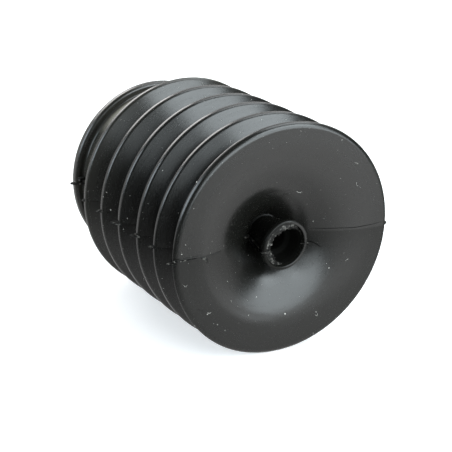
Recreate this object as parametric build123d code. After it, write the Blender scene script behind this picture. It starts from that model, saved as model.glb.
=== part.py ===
from build123d import *
import os

# Rubber bellows boot, moulded in one piece and open from its collar to its neck.
# It stands on the collar with the neck up: Z is the axis of the boot, and the origin is the
# centre of the collar's end face. Lengths are in millimetres. A name ending in _d is a diameter.

# Collar: a plain seat that a band clamps onto the housing, with a bead that keeps the band on
collar_bore_d = 58.0
collar_wall = 2.2
collar_seat_length = 12.7
seat_round = 0.8
bead_height = 2.8
bead_length = 4.0
bead_round = 1.5

# Folds: equal crests with a narrow flat land, and sharp valleys between them
fold_count = 6
fold_pitch = 12.9
fold_depth = 9.0
crest_d = 80.0
crest_land = 1.4
crest_round = 0.3
valley_round = 0.8
wall = 1.7

# Front: the last crest carries a flat ring, and inside the ring a dish curves down to the neck,
# steeper all the way. The curved share of the dish leaves room for the rounding at its floor.
front_edge = 2.1
front_edge_round = 1.8
ring_width = 3.0
dish_depth = 11.9
dish_curved_share = 0.85
dish_floor_round = 0.6

# Neck: a short tube that widens towards its lip
neck_bore_d = 7.6
neck_root_wall = 1.3
neck_flare = 2.3
neck_rise = 1.0
lip_height = 1.3
lip_length = 2.2
lip_round = 1.0

# Mouth of the neck: a taper from the end of the lip down to the bore
mouth_flare = 1.7
mouth_taper = 5.6

# Radii that follow from the sizes above
collar_bore_r = collar_bore_d / 2
seat_r = collar_bore_r + collar_wall
bead_r = seat_r + bead_height
crest_r = crest_d / 2
valley_r = crest_r - fold_depth
ring_r = crest_r - ring_width
neck_bore_r = neck_bore_d / 2
neck_root_r = neck_bore_r + neck_root_wall
neck_tip_r = neck_root_r + neck_flare
lip_r = neck_tip_r + lip_height
mouth_r = neck_bore_r + mouth_flare

# The dish is part of an arc that leaves the ring flat and ends at the root of the neck. The
# tangents at both ends of that arc meet at dish_r.
dish_run = ring_r - neck_root_r
dish_r = ring_r - (dish_run**2 + dish_depth**2) / (2 * dish_run)
dish_round = dish_curved_share * (dish_run**2 + dish_depth**2) / (2 * dish_depth)

# Heights, worked out from the collar upwards
seat_top = bead_length + collar_seat_length
flank_run = (fold_pitch - crest_land) / 2
first_crest = seat_top + flank_run * (crest_r - seat_r) / fold_depth
last_crest = first_crest + (fold_count - 1) * fold_pitch
face = last_crest + front_edge
dish_floor = face - dish_depth
tip = face + neck_rise

# The front's rounding stops short of the crest's own rounding
edge_round = min(front_edge_round, front_edge - crest_round)


def half_section(corners):
    """Face between the axis and a profile of (radius, height, corner radius) points."""
    points = [(radius, height) for radius, height, _ in corners]
    rounds = [corner for _, _, corner in corners]
    return make_face(FilletPolyline(*points, radius=rounds, close=True))


def fold_corners():
    """Profile of the folds from the collar's seat to the flat ring of the front."""
    corners = []
    for fold in range(fold_count - 1):
        crest = first_crest + fold * fold_pitch
        corners += [
            (crest_r, crest, crest_round),
            (crest_r, crest + crest_land, crest_round),
            (valley_r, crest + crest_land + flank_run, valley_round),
        ]
    return corners + [
        (crest_r, last_crest, crest_round),
        (crest_r, face, edge_round),
        (dish_r, face, dish_round),
    ]


# Outside of the boot, from the axis down the collar, up the folds and over the neck
outside = half_section(
    [
        (0, 0, 0),
        (bead_r, 0, bead_round),
        (bead_r, bead_length, bead_round),
        (seat_r, bead_length, seat_round),
        (seat_r, seat_top, seat_round),
    ]
    + fold_corners()
    + [
        (neck_root_r, dish_floor, dish_floor_round),
        (neck_tip_r, tip - lip_length, lip_round / 2),
        (lip_r, tip - lip_length, lip_round),
        (lip_r, tip, lip_round),
        (0, tip, 0),
    ]
)

# Inside of the folds: the same profile one wall further in. It is drawn one wall past the axis
# and below the collar, so that the offset ends on the axis and leaves the collar open.
lining = half_section(
    [
        (-wall, -2 * wall, 0),
        (collar_bore_r + wall, -2 * wall, 0),
        (collar_bore_r + wall, seat_top, seat_round),
    ]
    + fold_corners()
    + [
        (neck_root_r, dish_floor, 0),
        (-wall, dish_floor, 0),
    ]
)
inside = offset(lining, amount=-wall, kind=Kind.INTERSECTION)

# Bore of the neck and its tapered mouth
neck_bore = half_section(
    [
        (0, dish_floor - 2 * wall, 0),
        (neck_bore_r, dish_floor - 2 * wall, 0),
        (neck_bore_r, tip - mouth_taper, 0),
        (mouth_r, tip, 0),
        (0, tip, 0),
    ]
)

section = outside - inside - neck_bore
bellows_boot = revolve(Plane.XZ * section, Axis.Z)

os.makedirs("parts", exist_ok=True)
export_step(bellows_boot, "parts/bellows_boot.step")
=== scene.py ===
import math

import bpy
import numpy as np
from mathutils import Matrix, Vector
from mathutils.bvhtree import BVHTree

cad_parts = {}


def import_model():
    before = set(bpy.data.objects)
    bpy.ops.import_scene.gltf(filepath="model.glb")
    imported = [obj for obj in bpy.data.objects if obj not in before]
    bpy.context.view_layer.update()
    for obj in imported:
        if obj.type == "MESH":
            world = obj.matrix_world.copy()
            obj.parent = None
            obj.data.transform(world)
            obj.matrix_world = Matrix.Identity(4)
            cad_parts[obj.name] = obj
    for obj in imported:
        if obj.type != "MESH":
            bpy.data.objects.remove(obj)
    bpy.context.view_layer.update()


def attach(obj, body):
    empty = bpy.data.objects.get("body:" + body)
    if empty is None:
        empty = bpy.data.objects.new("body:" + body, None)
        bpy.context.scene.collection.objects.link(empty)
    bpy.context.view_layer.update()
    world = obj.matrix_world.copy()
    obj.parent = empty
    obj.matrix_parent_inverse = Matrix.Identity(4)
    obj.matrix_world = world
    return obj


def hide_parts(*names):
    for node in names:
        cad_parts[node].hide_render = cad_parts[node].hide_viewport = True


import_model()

# Lengths are in millimetres and angles in degrees, until a mesh is made in metres.
MM = 0.001

# Collar
COLLAR_BORE_R = 29.0
SEAT_R = 31.2
SEAT_TOP = 16.7
SEAT_ROUND = 0.8
BEAD_R = 34.3
BEAD_LENGTH = 4.0
BEAD_ROUND = 1.5

# Folds, from the collar upwards
FOLD_COUNT = 6
FOLD_PITCH = 12.9
FOLD_DEPTH = 9.0
CREST_R = 40.0
CREST_LAND = 1.4
CREST_BACK_ROUND = 0.25
CREST_FRONT_ROUND = 1.2
VALLEY_ROUND = 0.8
WALL = 1.7
FLANK_RUN = (FOLD_PITCH - CREST_LAND) / 2
FLANK_SLOPE = FOLD_DEPTH / FLANK_RUN
VALLEY_R = CREST_R - FOLD_DEPTH
FIRST_CREST = SEAT_TOP + (CREST_R - SEAT_R) / FLANK_SLOPE
LAST_CREST = FIRST_CREST + (FOLD_COUNT - 1) * FOLD_PITCH

# Front plate: its dish is an arc that leaves the ring flat and ends at the root of the neck
FRONT_EDGE = 2.1
FRONT_ROUND = 1.8
FACE = LAST_CREST + FRONT_EDGE
RING_R = 37.0
DISH_DEPTH = 13.1
DISH_FLOOR = FACE - DISH_DEPTH
NECK_ROOT_R = 5.6
DISH_RUN = RING_R - NECK_ROOT_R
DISH_R = RING_R - (DISH_RUN**2 + DISH_DEPTH**2) / (2 * DISH_RUN)
DISH_ROUND = 0.85 * (DISH_RUN**2 + DISH_DEPTH**2) / (2 * DISH_DEPTH)

# Neck, its lip and its mouth, which is wide inside the lip and tapers down to the bore
NECK_BORE_R = 3.8
NECK_TIP_R = 7.4
LIP_R = 8.6
LIP_LENGTH = 2.2
TIP = FACE + 1.0
MOUTH_TOP_R = 7.45
MOUTH_END_R = 5.3
MOUTH_TAPER = 5.6

# How the soft boot sits in the photo: the front leans to the left, the neck bends and stands a
# little low in the dish, and the rim is thinner on the lower left
RIM_RISE_X = 0.0768
RIM_RISE_Y = 0.0140
NECK_BEND = 4.0
NECK_BEND_TOWARDS = -18.0
NECK_DROP = 0.5
RIM_THINNING = 1.0
RIM_THIN_AT = 210.0

# Where that holds: points inside PLATE_R and above PLATE_BOTTOM are the front plate and the neck,
# and inside NECK_R they are the neck's tube, which stands clear of the dish from NECK_CLEAR above
# the dish's floor. The folds lean from LEAN_FROM upwards.
PLATE_R = 28.0
PLATE_BOTTOM = 60.0
NECK_R = 9.6
NECK_CLEAR = 4.2
LEAN_FROM = 61.0

# Steps round the axis, and the spacing of points along straight runs of the section
TURN_STEPS = 288
SECTION_SPACING = 2.6

# Flash fins on the left crests, from the collar upwards: reach, run to the back, run to the front
FIN_SIZES = [
    (0.6, 0.5, 0.2),
    (1.2, 1.2, 0.3),
    (2.0, 2.2, 0.9),
    (1.8, 1.6, 0.7),
    (1.3, 0.8, 0.6),
    (1.5, 1.0, 0.5),
]

# Lines on the front as photo pixels, with their half width and half height in millimetres
FACE_LINES = [
    ([(172.5, 260.6), (182.5, 259.4), (188.3, 258.4), (195.8, 256.9), (203.0, 255.8)], 0.32, 0.4),
    ([(206.0, 256.9), (213.0, 254.6), (218.3, 252.1), (221.0, 250.6)], 0.2, 0.2),
    ([(229.2, 245.0), (236.5, 241.5), (244.2, 238.3)], 0.18, 0.15),
    ([(194.6, 309.0), (200.0, 310.4), (205.0, 311.0)], 0.14, 0.10),
]

# Painted shade and a hair on the front, in the same way: a dark bead along a crease at the right, and a
# short dark hair
SHADE_AND_HAIR_LINES = [
    ([(309.0, 228.2), (330.0, 228.3), (354.0, 227.6), (370.0, 224.6), (383.0, 221.4)], 0.11, 0.1),
    ([(306.5, 241.0), (311.5, 241.6), (316.5, 244.0), (321.0, 247.0)], 0.14, 0.12),
]

# Torn edges on the front, in the same way; they take the torn rubber, whose pale spots are painted glints
TORN_LINES = [
    ([(169.0, 262.6), (174.0, 262.0), (182.0, 261.1), (190.0, 259.7), (197.5, 257.9)], 0.3, 0.5),
    ([(200.7, 257.6), (204.0, 258.4), (206.6, 259.8), (207.2, 263.2)], 0.5, 0.2),
    ([(244.8, 237.8), (247.2, 235.8), (249.4, 235.4)], 0.55, 0.8),
]

# Specks of dust as photo pixels, with their size in millimetres, and curled bits of lint
SPECKS = [
    (106.3, 192.3, 0.3), (103.4, 196.7, 0.2), (110.7, 210.0, 0.35), (127.3, 218.3, 0.25),
    (123.5, 229.3, 0.2), (162.6, 170.4, 0.25), (178.4, 212.7, 0.2), (162.3, 278.5, 0.2),
    (212.1, 241.4, 0.2), (190.7, 257.3, 0.2), (181.7, 254.3, 0.2), (185.6, 245.0, 0.2),
    (210.4, 253.3, 0.2), (239.3, 261.3, 0.2), (227.7, 281.3, 0.2), (207.5, 314.3, 0.35),
    (256.3, 296.7, 0.2), (248.5, 315.4, 0.2), (217.5, 324.7, 0.2), (225.0, 330.5, 0.2),
    (269.5, 142.5, 0.2), (313.0, 221.5, 0.2), (285.0, 313.7, 0.35), (196.7, 182.0, 0.3),
    (329.0, 268.0, 0.25), (232.0, 225.0, 0.2), (342.0, 140.0, 0.2), (316.0, 312.0, 0.2),
]
LINT_LINES = [
    [(207.0, 312.0), (209.5, 313.5), (212.0, 311.5)],
    [(183.0, 285.0), (185.5, 287.0), (187.0, 285.0)],
    [(315.0, 314.5), (317.0, 316.0), (317.5, 313.0)],
    [(296.0, 190.5), (299.0, 192.5), (302.0, 191.5)],
]
DUST_COUNT = 3000
LINT_COUNT = 90

# The photo's camera in the boot's frame, in metres, and its frame in pixels
CAMERA_PLACE = (-0.20381, 0.13428, 0.36504)
CAMERA_AIM = (0.03475, -0.03045, 0.0)
CAMERA_UP = (-0.0374, 0.9993, 0.0)
LENS = 90.35
SENSOR = 36.0
FRAME = 452

# Azimuths of the mould's parting line on the folds at the left and at the right, and on the rim
# in front of them. It steps over from the one to the other between two heights.
PARTING_LEFT = 180.0
PARTING_RIM_LEFT = 182.2
PARTING_RIGHT = 0.0
PARTING_RIM_RIGHT = 0.7
PARTING_STEP_FROM = 75.0
PARTING_STEP_TO = 85.0

# Height of the photo's table in the boot's frame, in metres, and its own glow
TABLE_Y = -0.0401
FLOOR_GLOW = 0.45

# The place that the lamps face, in metres
BOOT_MIDDLE = (0, 0, 0.05)


def linear(hex_colour):
    """sRGB hex to linear RGBA: c / 12.92 below 0.04045, else ((c + 0.055) / 1.055) ** 2.4."""
    srgb = np.array([int(hex_colour[i:i + 2], 16) / 255 for i in (1, 3, 5)])
    rgb = np.where(srgb <= 0.04045, srgb / 12.92, ((srgb + 0.055) / 1.055) ** 2.4)
    return (*rgb.tolist(), 1.0)


def smooth(x):
    """Smooth step: 3x^2 - 2x^3 on x held between 0 and 1."""
    x = np.clip(x, 0, 1)
    return x * x * (3 - 2 * x)


def rounded_loop(corners, spacing):
    """Closed loop through (radius, height, corner radius) points.

    Each corner is an arc tangent to both sides: its tangent length is R tan(turn / 2), and its
    points are start + R (sin(t) along + (1 - cos(t)) across) for t from 0 to the turn. An arc
    gets a point every 0.35 mm but no more than 12 steps, unless that leaves them over 1.3 mm
    apart. Straight runs get points about `spacing` apart, and one close to each arc.
    """
    corners = np.array(corners, float)
    points = corners[:, :2]
    before = points - np.roll(points, 1, axis=0)
    before /= np.linalg.norm(before, axis=1, keepdims=True)
    after = np.roll(before, -1, axis=0)
    cross = before[:, 0] * after[:, 1] - before[:, 1] * after[:, 0]
    turn = np.arctan2(cross, (before * after).sum(axis=1))
    tangent = corners[:, 2] * np.tan(np.abs(turn) / 2)
    across = np.sign(turn)[:, None] * np.stack([-before[:, 1], before[:, 0]], axis=1)
    start = points - before * tangent[:, None]
    arcs = []
    for i, radius in enumerate(corners[:, 2]):
        arc_length = radius * abs(turn[i])
        count = 1 if radius == 0 else 1 + int(max(2, min(12, arc_length / 0.35), arc_length / 1.3))
        t = np.linspace(0, abs(turn[i]), count)[:, None]
        arcs.append(start[i] + radius * (np.sin(t) * before[i] + (1 - np.cos(t)) * across[i]))
    loop = []
    for arc, following in zip(arcs, arcs[1:] + arcs[:1]):
        loop.append(arc)
        a, b = arc[-1], following[0]
        length = np.linalg.norm(b - a)
        if length > 0.4:
            inner = np.linspace(0.08, length - 0.08, max(2, round(length / spacing)))
            loop.append(a + (b - a) * inner[:, None] / length)
    return np.concatenate(loop)


def inset(points, wall):
    """Corners of an open profile moved one wall towards its left.

    Each side moves along its left normal by `wall`, and each new corner is where two
    neighbouring moved sides meet: p + wall (n1 + n2) / (1 + n1 . n2).
    """
    points = np.array(points, float)
    along = np.diff(points, axis=0)
    along /= np.linalg.norm(along, axis=1, keepdims=True)
    left = np.stack([-along[:, 1], along[:, 0]], axis=1)
    n1, n2 = left[:-1], left[1:]
    shift = wall * (n1 + n2) / (1 + (n1 * n2).sum(axis=1, keepdims=True))
    return points[1:-1] + shift


def boot_corners():
    """The whole closed section as (radius, height, corner radius) points.

    It goes up the outside, over the neck, down its bore and down the inside, which is the sharp
    profile of the outside moved in by one wall.
    """
    outside = [
        (COLLAR_BORE_R, 0, 0.2),
        (BEAD_R, 0, BEAD_ROUND),
        (BEAD_R, BEAD_LENGTH, BEAD_ROUND),
        (SEAT_R, BEAD_LENGTH, SEAT_ROUND),
        (SEAT_R, SEAT_TOP, SEAT_ROUND),
    ]
    sharp = [(COLLAR_BORE_R + WALL, 0), (COLLAR_BORE_R + WALL, SEAT_TOP)]
    for fold in range(FOLD_COUNT - 1):
        crest = FIRST_CREST + fold * FOLD_PITCH
        valley = crest + CREST_LAND + FLANK_RUN
        outside += [
            (CREST_R, crest, CREST_BACK_ROUND),
            (CREST_R, crest + CREST_LAND + 0.1, CREST_FRONT_ROUND),
            (VALLEY_R, valley, VALLEY_ROUND),
        ]
        sharp += [
            (CREST_R + CREST_LAND / 2 * FLANK_SLOPE, crest + CREST_LAND / 2),
            (VALLEY_R, valley),
        ]
    outside += [
        (CREST_R, LAST_CREST, CREST_BACK_ROUND),
        (CREST_R, FACE, FRONT_ROUND),
        (DISH_R, FACE, DISH_ROUND),
        (NECK_ROOT_R, DISH_FLOOR, 0.15),
        (NECK_TIP_R, TIP - LIP_LENGTH, 0.4),
        (LIP_R, TIP - LIP_LENGTH, 0.8),
        (LIP_R, TIP, 0.45),
        (MOUTH_TOP_R, TIP, 0.3),
        (7.0, TIP - 1.6, 0.5),
        (6.5, TIP - 2.4, 0.5),
        (MOUTH_END_R, TIP - MOUTH_TAPER, 1.0),
        (NECK_BORE_R, TIP - MOUTH_TAPER - 1.4, 1.0),
        (NECK_BORE_R, DISH_FLOOR - WALL, 0.2),
    ]
    sharp += [
        (CREST_R + FRONT_EDGE * FLANK_SLOPE, FACE),
        (DISH_R, FACE),
        (NECK_ROOT_R, DISH_FLOOR),
        (0, DISH_FLOOR),
    ]
    inner = inset(sharp, WALL)[::-1]
    fold_rounds = [2.5 if k % 2 == 0 else 0.3 for k in range(len(inner) - 4)]
    rounds = [0.3, DISH_ROUND - WALL, 0.3] + fold_rounds + [2.5]
    inside = [(r, z, c) for (r, z), c in zip(inner, rounds)]
    return outside + inside + [(COLLAR_BORE_R, 0.6, 0)]


def settle(points):
    """The boot as it sits: points in millimetres, moved from the moulded shape to the photo's.

    The neck bends in an even curve from its root, where s is the height above the root and
    a = bend s / length: the centre line moves (1 - cos a) / k sideways and sin(a) / k up, with
    k = bend / length, and a point at p beside it turns by a as well. The front leans as one
    plate: z grows by RIM_RISE_X x + RIM_RISE_Y y, and near the neck x and y lose the same shares
    of the height above the dish's floor. The neck and the inner dish also sit NECK_DROP low. The
    folds follow the rise only, less and less, down to LEAN_FROM. The back edge of the rim moves
    forwards round RIM_THIN_AT.
    """
    x, y, z = np.moveaxis(points, -1, 0)
    radius = np.hypot(x, y)
    thin = smooth((np.cos(np.arctan2(y, x) - math.radians(RIM_THIN_AT)) - 0.45) / 0.5)
    edge = np.interp(z, [LAST_CREST - 5, LAST_CREST, FACE], [0, 1, 0]) * (radius > PLATE_R)
    plate = (radius < PLATE_R) & (z > PLATE_BOTTOM)
    share = np.where(plate, 1, smooth((z - LEAN_FROM) / (LAST_CREST - LEAN_FROM)))
    slide = plate * smooth((PLATE_R + 2 - radius) / 10)
    length = TIP - DISH_FLOOR
    k = math.radians(NECK_BEND) / length
    bearing = math.radians(NECK_BEND_TOWARDS)
    bx, by = math.cos(bearing), math.sin(bearing)
    s = np.clip(z - DISH_FLOOR, 0, None)
    neck = smooth(NECK_R - radius + (z > DISH_FLOOR + NECK_CLEAR)) * (radius < NECK_R)
    a = k * s
    beside = x * bx + y * by
    shift = (1 - np.cos(a)) / k + beside * (np.cos(a) - 1)
    drop = np.sin(a) / k - s - beside * np.sin(a)
    x, y, z = x + neck * shift * bx, y + neck * shift * by, z + neck * drop
    rise = share * (RIM_RISE_X * x + RIM_RISE_Y * y) + RIM_THINNING * edge * thin
    back = slide * (z - DISH_FLOOR)
    x = x - RIM_RISE_X * back
    y = y - RIM_RISE_Y * back - NECK_DROP * slide
    return np.stack([x, y, z + rise], axis=-1)


def new_object(name, data):
    """An object of the scene with this mesh, lamp or camera."""
    made = bpy.data.objects.new(name, data)
    bpy.context.scene.collection.objects.link(made)
    return made


def mesh_piece(name, points, faces, material, flat=False):
    """An object whose mesh is in metres with its place in it, riding on the boot's body."""
    mesh = bpy.data.meshes.new(name)
    points = np.asarray(points, np.float32).reshape(-1, 3) * MM
    faces = np.asarray(faces, np.int32)
    mesh.vertices.add(len(points))
    mesh.vertices.foreach_set("co", points.ravel())
    mesh.loops.add(faces.size)
    mesh.loops.foreach_set("vertex_index", faces.ravel())
    mesh.polygons.add(len(faces))
    mesh.polygons.foreach_set("loop_start", np.arange(0, faces.size, faces.shape[1]))
    mesh.polygons.foreach_set("use_smooth", np.full(len(faces), not flat))
    mesh.update(calc_edges=True)
    mesh.validate()
    mesh.materials.append(material)
    piece = new_object(name, mesh)
    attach(piece, "root")
    return piece


def ring_faces(along, around):
    """Quads of a grid that closes on itself both along the section and around the axis."""
    i, j = np.meshgrid(np.arange(along), np.arange(around), indexing="ij")
    ni, nj = (i + 1) % along, (j + 1) % around
    corners = [i * around + j, i * around + nj, ni * around + nj, ni * around + j]
    return np.stack(corners, axis=-1).reshape(-1, 4)


def boot_shell(material, bore_shade_material):
    """The moulding: the closed section turned round Z, (r cos a, r sin a, z), then settled.

    The wall of the mouth and the bore takes the second material, which paints them in shade.
    The surface is returned as a search tree, which places the small details.
    """
    section = rounded_loop(boot_corners(), SECTION_SPACING)
    angle = np.linspace(0, 2 * np.pi, TURN_STEPS, endpoint=False)
    r, z = section[:, :1], section[:, 1:]
    moulded = np.stack([r * np.cos(angle), r * np.sin(angle), z + 0 * angle], axis=-1)
    points = settle(moulded).reshape(-1, 3)
    faces = ring_faces(len(section), TURN_STEPS)
    piece = mesh_piece("boot", points, faces, material)
    piece.data.materials.append(bore_shade_material)
    after_top = np.arange(len(section)) > np.argmax(section[:, 1])
    in_bore = (section[:, 0] < MOUTH_TOP_R - 0.05) & (section[:, 1] < TIP - 0.35) & after_top
    piece.data.polygons.foreach_set("material_index", np.repeat(in_bore, TURN_STEPS).astype(np.int32))
    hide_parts("bellows_boot")
    return BVHTree.FromPolygons(points.tolist(), faces.tolist())


def turn_to(back, up):
    """Turn of a camera or lamp, whose back points one way and whose top is as near `up` as it can."""
    back = Vector(back).normalized()
    right = Vector(up).cross(back).normalized()
    return Matrix((right, back.cross(right), back)).transposed()


def camera_turn():
    """The camera's turn, from its place, its aim and its upward direction."""
    return turn_to(Vector(CAMERA_PLACE) - Vector(CAMERA_AIM), CAMERA_UP)


def on_surface(tree, pixels):
    """Points in millimetres and outward directions where photo pixels fall on the boot.

    The ray through a pixel is turn ((u / 452 - 1/2) s, (1/2 - v / 452) s, -1), s = sensor / lens.
    """
    turn = camera_turn()
    spread = SENSOR / LENS
    points, normals = [], []
    for u, v in pixels:
        ray = turn @ Vector(((u / FRAME - 0.5) * spread, (0.5 - v / FRAME) * spread, -1))
        hit, normal = tree.ray_cast(Vector(CAMERA_PLACE) / MM, ray.normalized())[:2]
        points.append(hit)
        normals.append(normal)
    return np.array(points), np.array(normals)


def refined(path, count):
    """The path at `count` even steps of its length, each coordinate linear between its points."""
    path = np.asarray(path, float)
    steps = np.linalg.norm(np.diff(path[:, :3], axis=0), axis=1)
    at = np.concatenate([[0], np.cumsum(steps)])
    wanted = np.linspace(0, at[-1], count)
    return np.stack([np.interp(wanted, at, path[:, k]) for k in range(path.shape[1])], axis=1)


def strand(path, normals, half_width, half_height, blunt=0.25):
    """Closed six-sided bead along a path: its points and triangles.

    Around each path point p the ring is p + side w cos a + normal h sin a, and w and h shrink
    to nothing at both ends as the square root of the share of `blunt` that is left.
    """
    count, sides = len(path), 6
    along = np.gradient(path, axis=0)
    side = np.cross(along, normals)
    side /= np.linalg.norm(side, axis=1, keepdims=True)
    t = np.linspace(0, 1, count)
    fade = np.sqrt(np.clip(np.minimum(t, 1 - t) / blunt, 0.02, 1))[:, None, None]
    a = np.linspace(0, 2 * np.pi, sides, endpoint=False)[None, :, None]
    width = np.broadcast_to(np.asarray(half_width, float), count)[:, None, None]
    ring = side[:, None] * np.cos(a) * width + normals[:, None] * np.sin(a) * half_height
    rings = path[:, None] + ring * fade
    points = np.concatenate([rings.reshape(-1, 3), path[:1], path[-1:]])
    i, j = np.meshgrid(np.arange(count - 1), np.arange(sides), indexing="ij")
    this, following = i * sides, i * sides + sides
    nj = (j + 1) % sides
    corners = [this + j, this + nj, following + nj, following + j]
    quads = np.stack(corners, axis=-1).reshape(-1, 4)
    k = np.arange(sides)
    nk = (k + 1) % sides
    first_end, last_end = count * sides, count * sides + 1
    last_ring = (count - 1) * sides
    first_cap = np.stack([0 * k + first_end, nk, k], axis=1)
    last_cap = np.stack([0 * k + last_end, last_ring + k, last_ring + nk], axis=1)
    faces = np.concatenate([quads[:, [0, 1, 2]], quads[:, [0, 2, 3]], first_cap, last_cap])
    return points, faces


def joined(parts):
    """Several (points, faces) pairs as one."""
    starts = np.cumsum([0] + [len(points) for points, _ in parts[:-1]])
    points = np.concatenate([points for points, _ in parts])
    faces = np.concatenate([faces + start for (_, faces), start in zip(parts, starts)])
    return points, faces


def plate(outline, azimuth, thickness):
    """Thin plate standing in the plane of the axis at an azimuth: its points and triangles.

    The outline is (radius, height) points, anticlockwise seen along the azimuth plus 90 degrees.
    """
    outline = np.array(outline, float)
    a = math.radians(azimuth)
    out = np.array([math.cos(a), math.sin(a), 0])
    flat = outline[:, :1] * out + outline[:, 1:] * np.array([0, 0, 1])
    side = np.array([-math.sin(a), math.cos(a), 0]) * thickness / 2
    middle = flat.mean(axis=0)
    thin = middle + (flat - middle) * 0.96
    points = np.concatenate([flat - side * 0.4, thin + side, thin - side, [middle + side, middle - side]])
    n = len(outline)
    k = np.arange(n)
    nk = (k + 1) % n
    top = np.stack([k + n, nk + n, 0 * k + 3 * n], axis=1)
    under = np.stack([nk + 2 * n, k + 2 * n, 0 * k + 3 * n + 1], axis=1)
    rim = [[k, nk, nk + n], [k, nk + n, k + n], [k + 2 * n, nk + 2 * n, nk], [k + 2 * n, nk, k]]
    return points, np.concatenate([top, under] + [np.stack(f, axis=1) for f in rim])


def rubber_piece(name, parts, material):
    """A piece made of several closed parts."""
    points, faces = joined(parts)
    return mesh_piece(name, points, faces, material, flat=True)


def flash_fins(material):
    """Flash left in the mould's parting plane.

    There is a torn fin on each crest at the left, two on the collar, and a stub on the rim at
    the right.
    """
    fins = []
    for fold, (reach, back, front) in enumerate(FIN_SIZES):
        height = FIRST_CREST + fold * FOLD_PITCH
        foot = CREST_R - 0.5
        azimuth = PARTING_LEFT if fold < FOLD_COUNT - 1 else PARTING_RIM_LEFT
        outline = [
            (foot, height - back * 0.6 - 0.4),
            (CREST_R + reach * 0.6, height - back * 0.8),
            (CREST_R + reach, height - back * 0.8),
            (CREST_R + reach * 0.8, height - back * 0.2),
            (CREST_R + reach * 0.4, height + CREST_LAND * 0.6),
            (foot, height + CREST_LAND + front),
        ]
        points, faces = plate(outline, azimuth, 0.6)
        fins.append((settle(points), faces))
    on_bead = [(33.0, 1.0), (34.9, 1.3), (35.8, 2.2), (35.2, 2.9), (33.6, 4.2), (31.0, 4.6)]
    fins.append(plate(on_bead, 181.0, 0.6))
    beside_bead = [(31.0, 4.6), (33.6, 4.9), (34.9, 6.4), (34.2, 7.4), (32.2, 6.4), (31.0, 6.6)]
    fins.append(plate(beside_bead, 176.5, 0.9))
    right_rim = [(39.2, 0.2), (40.45, 0.5), (40.5, 1.2), (39.2, 1.9)]
    points, faces = plate([(r, LAST_CREST + z) for r, z in right_rim], PARTING_RIM_RIGHT, 0.8)
    fins.append((settle(points), faces))
    return rubber_piece("parting_fins", fins, material)


def outside_section():
    """The outside of the section alone, from the collar's end face to the top of the lip."""
    section = rounded_loop(boot_corners(), SECTION_SPACING)
    top = np.argmax(section[:, 1])
    lip = np.flatnonzero(section[:, 0] >= LIP_R - 0.3)
    end = lip[(lip < len(section) // 2) & (section[lip, 1] > DISH_FLOOR)].max()
    return section[: max(end, top)]


def parting_ridges(material):
    """Fine ridge of the parting line over the folds, on the left and on the right."""
    section = outside_section()
    folds = section[(section[:, 1] > 1.0) & (section[:, 0] > 30.0)]
    folds = folds[: np.argmax(folds[:, 1])]
    ridges = []
    sides = ((PARTING_LEFT, PARTING_RIM_LEFT), (PARTING_RIGHT, PARTING_RIM_RIGHT))
    for azimuth, rim_azimuth in sides:
        path = refined(folds, 260)
        step = smooth((path[:, 1] - PARTING_STEP_FROM) / (PARTING_STEP_TO - PARTING_STEP_FROM))
        a = np.radians(azimuth + (rim_azimuth - azimuth) * step)
        points = np.stack([path[:, 0] * np.cos(a), path[:, 0] * np.sin(a), path[:, 1]], axis=1)
        slope = np.gradient(path, axis=0)
        slope /= np.linalg.norm(slope, axis=1, keepdims=True)
        normals = np.stack([slope[:, 1] * np.cos(a), slope[:, 1] * np.sin(a), -slope[:, 0]], axis=1)
        ridges.append(strand(settle(points), normals, 0.18, 0.2, blunt=0.02))
    return rubber_piece("parting_ridges", ridges, material)


def front_lines(name, lines, tree, material):
    """Fine beads on the front, each through photo pixels: ridges, tears, a scratch, a hair and
    painted shade along a crease.
    """
    parts = []
    for pixels, half_width, half_height in lines:
        points, normals = on_surface(tree, refined(pixels, 4 * len(pixels)))
        parts.append(strand(points, normals, half_width, half_height))
    return rubber_piece(name, parts, material)


def neck_flash(material):
    """Flash lines down the left and the right of the neck, each with its nub over the lip."""
    z = np.linspace(DISH_FLOOR + 0.8, TIP - 1.6, 16)
    slope = (NECK_TIP_R - NECK_ROOT_R) / (TIP - LIP_LENGTH - DISH_FLOOR)
    r = NECK_ROOT_R + slope * (z - DISH_FLOOR)
    lip_points = [(0.5, -1.4), (0.3, -0.2), (-0.6, 0.1), (-2.1, 0.0), (-2.7, -0.3)]
    across = np.array([(LIP_R + out, TIP + up) for out, up in lip_points])
    parts = []
    for azimuth, half_width, half_height in ((187.0, 0.4, 0.7), (-4.0, 0.2, 0.3)):
        a = math.radians(azimuth)
        out = np.array([math.cos(a), math.sin(a), 0])
        up = np.array([0, 0, 1])
        line = r[:, None] * out + z[:, None] * up
        parts.append(strand(line, np.tile(out, (len(z), 1)), half_width, half_height))
        over = refined(across[:, :1] * out + across[:, 1:] * up, 12)
        parts.append(strand(over, np.tile(out * 0.3 + up * 0.95, (12, 1)), 0.6 * half_width, 0.25))
    points, faces = joined(parts)
    return mesh_piece("neck_flash", settle(points), faces, material, flat=True)


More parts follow.
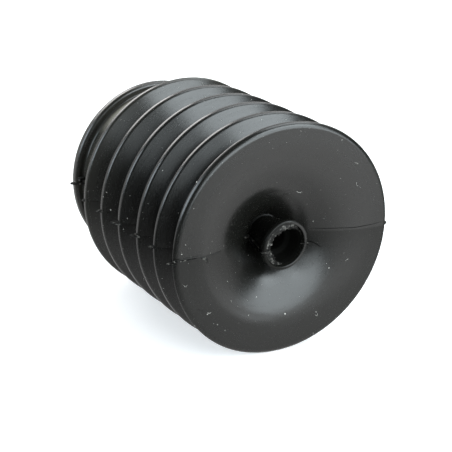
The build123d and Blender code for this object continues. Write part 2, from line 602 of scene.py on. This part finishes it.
def torn_film(material):
    """Ragged film left round the upper left of the mouth: a ring that slopes inwards.

    With n a sum of sines and random teeth held between 0 and 1, and w a smooth step of
    0.62 + 0.75 cos(a - 150), the inner edge is r = 7.2 - w (1.9 + 0.8 n). Where w is 0, on the
    lower right, the film sinks into the wall of the mouth.
    """
    steps = 180
    a = np.linspace(0, 2 * np.pi, steps, endpoint=False)
    seeded = np.random.default_rng(11)
    teeth = np.repeat(seeded.random(steps // 3), 3) ** 2
    waves = 0.5 + 0.25 * np.sin(3 * a + 1.0) + 0.15 * np.sin(7 * a) + 0.1 * np.sin(17 * a)
    n = np.clip(0.5 * waves + 0.7 * teeth, 0, 1)
    w = smooth(0.62 + 0.75 * np.cos(a - math.radians(150)))
    out = 1 - w
    rows = [
        (7.4 + 0 * n, -1.5 - 0.2 * out),
        (7.3 - 0.1 * w, -0.6 - out),
        (7.25 - w * (1.0 + 0.2 * waves), -0.5 - 1.1 * out),
        (7.2 - w * (1.9 + 0.8 * n), -1.3 - 0.7 * out + 0.5 * n * w),
        (7.2 - w * (1.8 + 0.7 * n), -1.6 - 0.5 * out),
        (7.3 - 0.2 * w, -1.9 - 0.2 * out),
    ]
    r, z = np.moveaxis(np.array(rows), 1, 0)
    z = TIP + z
    points = np.stack([r * np.cos(a), r * np.sin(a), z], axis=-1)
    return mesh_piece("torn_film", settle(points), ring_faces(len(rows), steps), material, flat=True)


def scattered(count, seeded):
    """Random places over the outside, in proportion to area, with their outward directions."""
    section = outside_section()
    a, b = section[:-1], section[1:]
    length = np.linalg.norm(b - a, axis=1)
    area = length * (a[:, 0] + b[:, 0])
    pick = seeded.choice(len(a), count, p=area / area.sum())
    t = seeded.random((count, 1))
    at = a[pick] + (b[pick] - a[pick]) * t
    step = (b[pick] - a[pick]) / length[pick, None]
    angle = seeded.random(count) * 2 * np.pi
    c, s = np.cos(angle), np.sin(angle)
    points = np.stack([at[:, 0] * c, at[:, 0] * s, at[:, 1]], axis=1)
    normals = np.stack([step[:, 1] * c, step[:, 1] * s, -step[:, 0]], axis=1)
    moved = settle(points)
    lifted = settle(points + normals * 0.1) - moved
    return moved, lifted / np.linalg.norm(lifted, axis=1, keepdims=True)


def flakes(points, normals, sizes, seeded):
    """Flat specks: five corners at random distances, with a peak above and a low one below."""
    count, corners = len(points), 5
    helper = np.where(np.abs(normals[:, :1]) < 0.9, [[1.0, 0, 0]], [[0, 1.0, 0]])
    side = np.cross(normals, helper)
    side /= np.linalg.norm(side, axis=1, keepdims=True)
    other = np.cross(normals, side)
    a = np.linspace(0, 2 * np.pi, corners, endpoint=False) + seeded.random((count, 1)) * 6
    reach = sizes[:, None] * seeded.uniform(0.4, 1.0, (count, corners))
    sideways = side[:, None] * (reach * np.cos(a))[..., None]
    otherways = other[:, None] * (reach * np.sin(a))[..., None]
    rim = points[:, None] + (sideways + otherways)
    top = points + normals * sizes[:, None] * 0.5
    low = points - normals * sizes[:, None] * 0.3
    all_points = np.concatenate([rim, top[:, None], low[:, None]], axis=1).reshape(-1, 3)
    k = np.arange(corners)
    nk = (k + 1) % corners
    upper = np.stack([k, nk, 0 * k + corners], axis=1)
    lower = np.stack([nk, k, 0 * k + corners + 1], axis=1)
    starts = (corners + 2) * np.arange(count)[:, None, None]
    return all_points, (np.concatenate([upper, lower])[None] + starts).reshape(-1, 3)


def dust(tree, material):
    """White specks and lint: the larger ones where the photo has them, small ones all over."""
    seeded = np.random.default_rng(5)
    placed, up = on_surface(tree, [speck[:2] for speck in SPECKS])
    sizes = np.array([speck[2] for speck in SPECKS])
    parts = [flakes(placed, up, sizes, seeded)]

    # Most of the small specks reach little over 0.03 mm, and a few reach up to 0.16 mm
    points, normals = scattered(DUST_COUNT, seeded)
    parts.append(flakes(points, normals, 0.03 + 0.13 * seeded.random(DUST_COUNT) ** 6, seeded))
    mesh_piece("dust_specks", *joined(parts), material, flat=True)

    # Lint: short curved fibres in random directions, and the curled ones that the photo shows
    fibres = []
    points, normals = scattered(LINT_COUNT, seeded)
    for place, normal in zip(points, normals):
        side = np.cross(normal, seeded.normal(size=3))
        side /= np.linalg.norm(side)
        other = np.cross(normal, side)
        reach, curl = seeded.uniform(0.3, 0.9), seeded.uniform(-2.5, 2.5)
        t = np.linspace(-1, 1, 7)[:, None]
        path = place + reach * t * side + 0.2 * curl * reach * t * t * other + 0.05 * normal
        fibres.append(strand(path, np.tile(normal, (7, 1)), 0.035, 0.03))
    for pixels in LINT_LINES:
        path, normal = on_surface(tree, refined(pixels, 8))
        fibres.append(strand(path + 0.06 * normal, normal, 0.045, 0.04))
    mesh_piece("lint", *joined(fibres), material, flat=True)


def node(tree, kind, links=(), **settings):
    """Adds a node, sets its properties and input values by name, and links its inputs."""
    made = tree.nodes.new(kind)
    for key, value in settings.items():
        if hasattr(made, key):
            setattr(made, key, value)
        else:
            made.inputs[key.replace("_", " ")].default_value = value
    for socket, source in links:
        tree.links.new(source, made.inputs[socket])
    return made


def mapped(tree, value, low, high, to_low=0.0, to_high=1.0):
    """Output that runs from to_low to to_high while the value runs from low to high."""
    limits = {"From_Min": low, "From_Max": high, "To_Min": to_low, "To_Max": to_high}
    return node(tree, "ShaderNodeMapRange", [("Value", value)], **limits).outputs[0]


def maths(tree, operation, first, second):
    """Output of a sum, product or the like. Each value is a number or another node's output."""
    made = node(tree, "ShaderNodeMath", operation=operation)
    for socket, value in zip(made.inputs, (first, second)):
        if isinstance(value, float):
            socket.default_value = value
        else:
            tree.links.new(value, socket)
    return made.outputs[0]


def noise(tree, place, size, detail=2.0):
    """Output of a noise whose features are about `size` metres wide."""
    made = node(tree, "ShaderNodeTexNoise", [("Vector", place)], Scale=1 / size, Detail=detail)
    return made.outputs["Fac"]


def two_tones(tree, value, low, dark, high, light):
    """Colour output that is dark up to low, light from high on, and even in between."""
    tones = node(tree, "ShaderNodeValToRGB", [("Fac", value)])
    for element, position, colour in zip(tones.color_ramp.elements, (low, high), (dark, light)):
        element.position = position
        element.color = linear(colour)
    return tones.outputs["Color"]


def new_material(name):
    """A material with its node tree, its surface shader and the output of Object coordinates."""
    material = bpy.data.materials.new(name)
    material.use_nodes = True
    tree = material.node_tree
    place = node(tree, "ShaderNodeTexCoord").outputs["Object"]
    return material, tree, tree.nodes["Principled BSDF"], place


def moulded_rubber():
    """Black moulded rubber: a dull sheen from a spark-textured mould over a nearly black body.

    A fine mottled grain breaks up the highlights, and faint rings run round the axis where the
    mould was turned. The sheen is made a little weaker just below the parting line and in the
    well at the left of the neck, as painted shade. Pale dust lies on the seat of the collar,
    behind the first fold, and at the top of the seat the pale streaky layer is partly dust and
    partly a painted reflection of a warm light.
    """
    material, tree, shader, place = new_material("moulded_black_rubber")
    shader.inputs["IOR"].default_value = 1.5
    axes = node(tree, "ShaderNodeSeparateXYZ", [("Vector", place)])
    x, y, z = axes.outputs
    level_place = node(tree, "ShaderNodeVectorMath", [(0, place)], operation="MULTIPLY")
    level_place.inputs[1].default_value = (1, 1, 0)
    length = node(tree, "ShaderNodeVectorMath", [(0, level_place.outputs[0])], operation="LENGTH")
    radius = length.outputs["Value"]

    # Noise in radius, angle and height: long along the angle, so that it reads as turned rings
    angle = maths(tree, "MULTIPLY", maths(tree, "ARCTAN2", y, x), 2.5 * MM)
    turned = node(tree, "ShaderNodeCombineXYZ", [("X", radius), ("Y", angle), ("Z", z)]).outputs[0]
    rings = noise(tree, turned, 0.8 * MM)
    grain = noise(tree, place, 0.4 * MM, detail=3.0)
    mottle = node(tree, "ShaderNodeMix", [("A", grain), ("B", rings)], data_type="FLOAT", Factor=0.4)
    tree.links.new(mapped(tree, mottle.outputs[0], 0.3, 0.7, 0.19, 0.30), shader.inputs["Roughness"])
    bump = node(tree, "ShaderNodeBump", [("Height", mottle.outputs[0])], Strength=0.5, Distance=0.04 * MM)
    tree.links.new(bump.outputs["Normal"], shader.inputs["Normal"])

    # Painted shade: the sheen is weaker just below the parting line, and in the well at the left of the
    # neck
    near_line = mapped(tree, y, -16 * MM, 0.0)
    shade_below_line = maths(tree, "MULTIPLY", near_line, maths(tree, "LESS_THAN", y, 0.0))
    level = mapped(tree, shade_below_line, 0.0, 1.0, 0.5, 0.33)
    well = mapped(tree, radius, 12 * MM, 15.5 * MM, 0.25, 1.0)
    rightward = mapped(tree, x, -3 * MM, 4 * MM)
    weak = maths(tree, "MULTIPLY", level, maths(tree, "MAXIMUM", well, rightward))
    tree.links.new(weak, shader.inputs["Specular IOR Level"])

    # Dust and a painted reflection: faint dust all round the seat; at the top of the seat a thick streaky
    # layer that is partly dust and partly a painted reflection of a warm light; and a trace of dust on the
    # folds next to it
    seat = maths(tree, "MULTIPLY", mapped(tree, z, 4.2 * MM, 5.2 * MM), mapped(tree, z, 19 * MM, 16 * MM))
    dust_and_reflection_mask = maths(tree, "MULTIPLY", seat, mapped(tree, y, 18 * MM, 27 * MM, 0.06, 1.6))
    # settled carries both the dust and the painted reflection, broken into streaks round the axis
    settled = maths(tree, "MULTIPLY", dust_and_reflection_mask, noise(tree, turned, 3.0 * MM))
    dust_and_reflection = maths(tree, "ADD", settled, mapped(tree, z, 45 * MM, 20 * MM, 0.0, 0.035))
    colour = node(tree, "ShaderNodeMix", [("Factor", dust_and_reflection)], data_type="RGBA")
    rubber_colour, dust_and_reflection_colour = colour.inputs[6:8]
    rubber_colour.default_value = linear("#11110f")
    # Beige: the colour of the dust and of the painted warm reflection
    dust_and_reflection_colour.default_value = linear("#a29c8e")
    tree.links.new(colour.outputs[2], shader.inputs["Base Color"])
    return material


def shade_and_hair_black():
    """Painted shade: rubber made almost black and nearly without sheen, for the shade in the bore.

    The wall of the mouth takes it too, and on the front a bead of painted shade along a crease
    and a dark hair.
    """
    material, tree, shader, place = new_material("black_for_shade_and_hair")
    shader.inputs["Base Color"].default_value = linear("#060605")
    shader.inputs["Specular IOR Level"].default_value = 0.03
    grain = noise(tree, place, 0.4 * MM, detail=3.0)
    tree.links.new(mapped(tree, grain, 0.0, 1.0, 0.5, 0.9), shader.inputs["Roughness"])
    return material


def torn_rubber_with_glints():
    """Thin torn rubber: nearly black, with pale spots painted on as glints of light on its ragged edges.
    """
    material, tree, shader, place = new_material("torn_rubber_painted_glints")
    # Pale spots: painted glints
    spots = noise(tree, place, 0.9 * MM)
    tree.links.new(two_tones(tree, spots, 0.52, "#10100f", 0.74, "#686661"), shader.inputs["Base Color"])
    shader.inputs["Roughness"].default_value = 0.45
    shader.inputs["Specular IOR Level"].default_value = 0.16
    return material


def pale_dust():
    """Dry white dust and lint: matt, with no sheen to speak of, and greyer in some patches."""
    material, tree, shader, place = new_material("pale_dust")
    patches = noise(tree, place, 3.0 * MM)
    tree.links.new(two_tones(tree, patches, 0.35, "#77756f", 0.65, "#d8d6cf"), shader.inputs["Base Color"])
    shader.inputs["Roughness"].default_value = 0.9
    return material


def table_material():
    """White table: diffuse, with a glow of its own to the camera, and shaded in reflections.

    In reflections it is even behind the boot. In front of the boot it darkens to the left and to
    the right, and grows lighter far away. Its underside is see-through and hides nothing.
    """
    material = bpy.data.materials.new("white_studio_floor")
    material.use_nodes = True
    tree = material.node_tree
    tree.nodes.clear()
    rays = node(tree, "ShaderNodeLightPath")
    place = node(tree, "ShaderNodeTexCoord").outputs["Object"]
    axes = node(tree, "ShaderNodeSeparateXYZ", [("Vector", place)])
    x, z = axes.outputs["X"], axes.outputs["Z"]
    from_left = maths(tree, "SUBTRACT", x, maths(tree, "MULTIPLY", z, 0.3))
    to_right = maths(tree, "SUBTRACT", x, maths(tree, "MULTIPLY", z, 0.9))
    rise = mapped(tree, from_left, -0.15, 0.0, 0.08, 1.2)
    fall = mapped(tree, to_right, -0.10, 0.03, 1.0, 0.25)
    far = mapped(tree, z, 0.13, 0.18, 1.0, 1.42)
    in_front = maths(tree, "MULTIPLY", maths(tree, "MULTIPLY", rise, fall), far)
    ahead = mapped(tree, z, -0.05, 0.02)
    lit = node(tree, "ShaderNodeMix", [("Factor", ahead), ("B", in_front)], data_type="FLOAT", A=1.0)
    mirrored = node(tree, "ShaderNodeEmission", [("Strength", lit.outputs[0])])
    matt = node(tree, "ShaderNodeBsdfDiffuse", Color=linear("#f4f4f4"))
    surface_links = [(0, rays.outputs["Is Glossy Ray"]), (1, matt.outputs[0]), (2, mirrored.outputs[0])]
    table = node(tree, "ShaderNodeMixShader", surface_links)
    seen = maths(tree, "MULTIPLY", rays.outputs["Is Camera Ray"], FLOOR_GLOW)
    glow = node(tree, "ShaderNodeEmission", [("Strength", seen)])
    front = node(tree, "ShaderNodeAddShader", [(0, table.outputs[0]), (1, glow.outputs[0])])
    side = node(tree, "ShaderNodeNewGeometry")
    clear = node(tree, "ShaderNodeBsdfTransparent")
    side_links = [(0, side.outputs["Backfacing"]), (1, front.outputs[0]), (2, clear.outputs[0])]
    whole = node(tree, "ShaderNodeMixShader", side_links)
    node(tree, "ShaderNodeOutputMaterial", [("Surface", whole.outputs[0])])
    return material


def floor():
    """Table that the boot lies on in the photo, curving up into a wall far behind it."""
    bend = np.linspace(0, np.pi / 2, 24)
    y = np.concatenate([[TABLE_Y], TABLE_Y + 0.3 * (1 - np.cos(bend)), [2.5]])
    z = np.concatenate([[1.6], -0.6 - 0.3 * np.sin(bend), [-0.9]])
    edge = np.stack([0 * y, y, z], axis=1)
    points = np.concatenate([edge - (2.5, 0, 0), edge + (2.5, 0, 0)])
    i = np.arange(len(edge) - 1)
    faces = np.stack([i + 1, i, i + len(edge), i + len(edge) + 1], axis=1)
    mesh = bpy.data.meshes.new("floor")
    mesh.from_pydata(points.tolist(), [], faces.tolist())
    mesh.materials.append(table_material())
    table = new_object("floor", mesh)


def lamp(name, direction, distance, size, power, colour, along=(0, 0, 1)):
    """Soft box at a distance in metres in a direction from the boot's middle, which it faces.

    Its size is in metres, its second side lies along `along`, and its power is in watts.
    """
    data = bpy.data.lights.new(name, "AREA")
    data.shape = "RECTANGLE"
    data.size, data.size_y = size
    data.energy = power
    data.color = linear(colour)[:3]
    place = Vector(direction).normalized() * distance + Vector(BOOT_MIDDLE)
    turn = turn_to(direction, along)
    new_object(name, data).matrix_world = Matrix.Translation(place) @ turn.to_4x4()


def camera():
    """The photo's view: the lens, and a place, aim and upward direction in the boot's frame."""
    data = bpy.data.cameras.new("camera")
    data.lens = LENS
    data.sensor_width = SENSOR
    eye = new_object("camera", data)
    eye.matrix_world = Matrix.Translation(CAMERA_PLACE) @ camera_turn().to_4x4()
    bpy.context.scene.camera = eye


def world():
    """Dim neutral surroundings, so that the soft boxes shape the rubber."""
    scene = bpy.context.scene
    scene.world = bpy.data.worlds.new("studio")
    scene.world.use_nodes = True
    background = scene.world.node_tree.nodes["Background"]
    background.inputs["Color"].default_value = linear("#484848")
    background.inputs["Strength"].default_value = 1.0
    scene.view_settings.view_transform = "Standard"


rubber = moulded_rubber()
# Black for the painted shade in the bore and along a crease on the front, and for a dark hair
dull = shade_and_hair_black()
surface = boot_shell(rubber, dull)
# Torn rubber with painted glints, for the fins, the tears on the front, the neck's flash and the film
torn = torn_rubber_with_glints()
flash_fins(torn)
parting_ridges(rubber)
front_lines("face_flash", FACE_LINES, surface, rubber)
front_lines("face_shade_and_hair", SHADE_AND_HAIR_LINES, surface, dull)
front_lines("face_tears", TORN_LINES, surface, torn)
neck_flash(torn)
torn_film(torn)
dust(surface, pale_dust())
floor()
lamp("key", (0.28, 0.20, 0.93), 0.6, (0.38, 0.58), 4.4, "#e8f2f6", along=(-0.98, 0.1, 0.2))
lamp("high", (0.37, 0.66, 0.66), 0.7, (0.32, 0.51), 4.5, "#e8f2f6", along=(-0.93, 0.26, 0.26))
lamp("ceiling", (0.45, 0.85, -0.05), 0.9, (0.60, 0.60), 5.0, "#eef5f8", along=(0.0, 0.1, 1.0))
lamp("fill", (-0.22, 0.42, 0.88), 0.8, (0.40, 0.45), 1.0, "#e8f2f6", along=(0.98, 0.1, 0.2))
lamp("edge", (-0.26, 0.02, 0.96), 0.52, (0.20, 0.12), 0.3, "#e8f2f6", along=(0.96, 0.0, 0.28))
lamp("left", (-0.88, 0.42, -0.20), 0.9, (0.45, 0.60), 6.0, "#dceaf4", along=(0.0, 0.0, 1.0))
lamp("back", (-0.12, 0.62, -0.77), 0.9, (0.60, 0.35), 4.4, "#fbfaf8", along=(0.0, 0.77, 0.62))
camera()
world()
